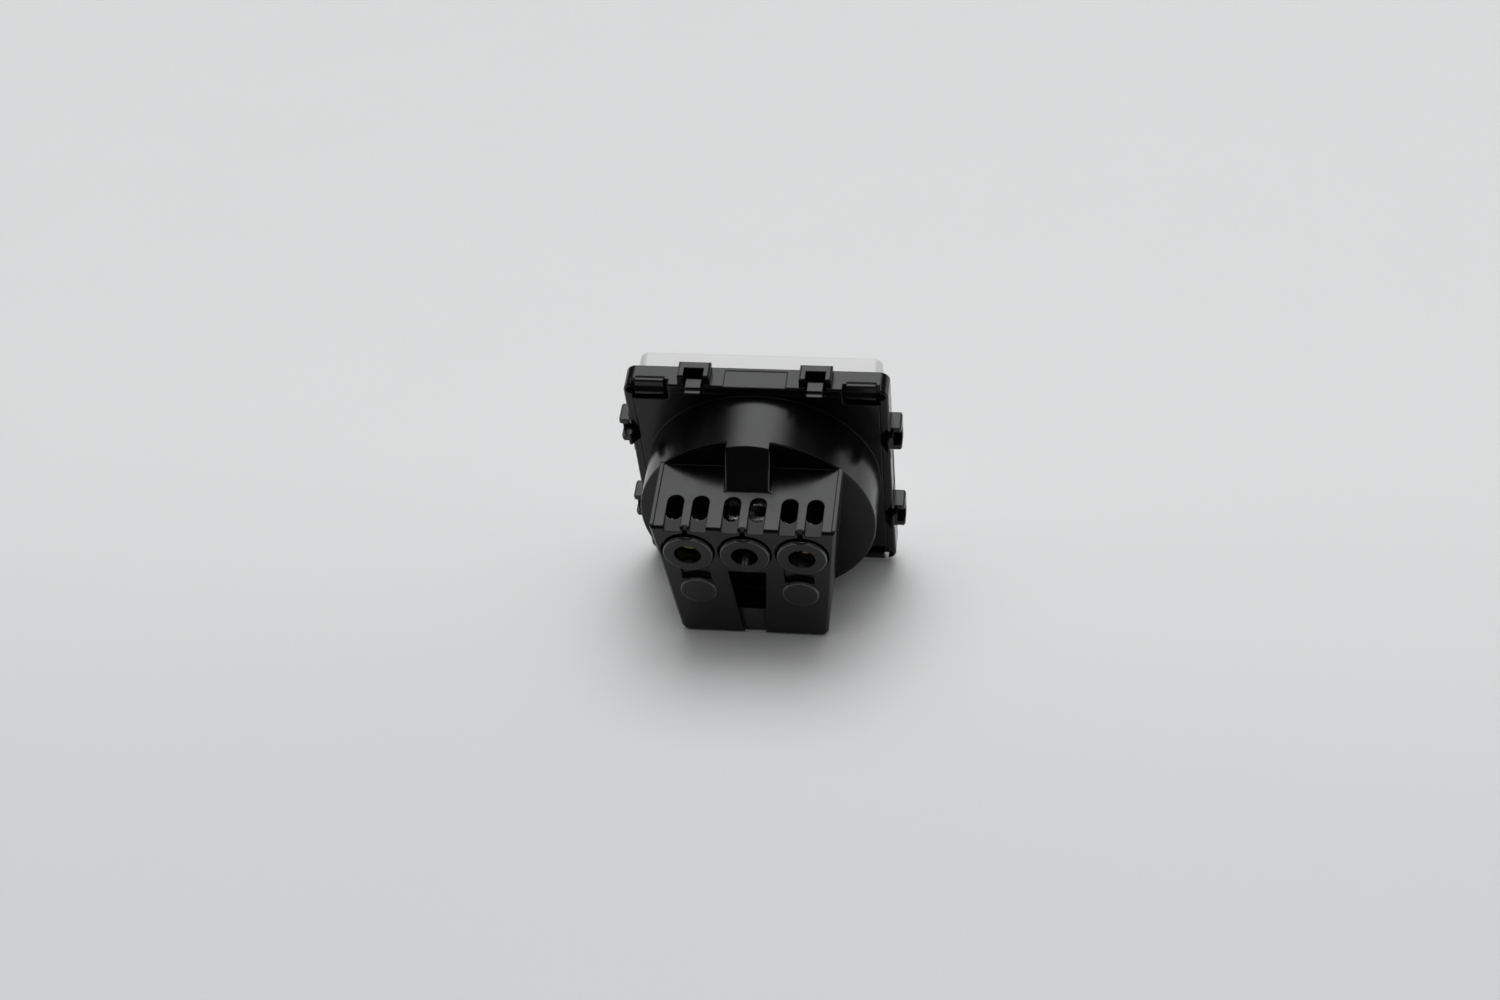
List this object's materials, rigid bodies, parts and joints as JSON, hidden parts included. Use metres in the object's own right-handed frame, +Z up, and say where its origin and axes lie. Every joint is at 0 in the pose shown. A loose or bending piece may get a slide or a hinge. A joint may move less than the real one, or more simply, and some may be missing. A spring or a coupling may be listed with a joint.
{
  "type": "socket module",
  "caption": "Square snap-in socket module with a round recess and an earth pin in front, and a black moulded housing with screw terminals behind.",
  "frame": {"origin": "on the plug axis, in the plane of the mounting frame's front shoulder", "axes": "-Y out of the front, the way a plug leaves; +Y towards the wires; +Z up, towards the earth pin and the wire entries; +X to the right as seen from the front"},
  "size_m": [0.0526, 0.0364, 0.0526],
  "materials": {
    "white_cover": "smooth semi-gloss white moulding",
    "black_moulding": "semi-gloss black moulding with a very fine texture",
    "carrier_moulding": "matt dark grey moulding",
    "brass": "pressed brass, lightly worn",
    "plated_steel": "zinc-plated steel",
    "nickel_plated_brass": "nickel-plated brass, turned"
  },
  "bodies": {
    "root": {"front_cover": "white_cover", "mounting_frame": "black_moulding", "housing_shell": "black_moulding", "terminal_block": "black_moulding", "contact_carrier": "carrier_moulding", "carrier_screw": "plated_steel", "line_contact": "brass", "neutral_contact": "brass", "line_contact_spring": "plated_steel", "neutral_contact_spring": "plated_steel", "line_terminal_nut": "plated_steel", "earth_terminal_nut": "plated_steel", "neutral_terminal_nut": "plated_steel", "line_clamp_plate": "plated_steel", "earth_clamp_plate": "plated_steel", "neutral_clamp_plate": "plated_steel", "line_terminal_screw": "brass", "earth_terminal_screw": "plated_steel", "neutral_terminal_screw": "brass", "earth_pin": "nickel_plated_brass", "earth_strap": "plated_steel"}
  },
  "joints": []
}
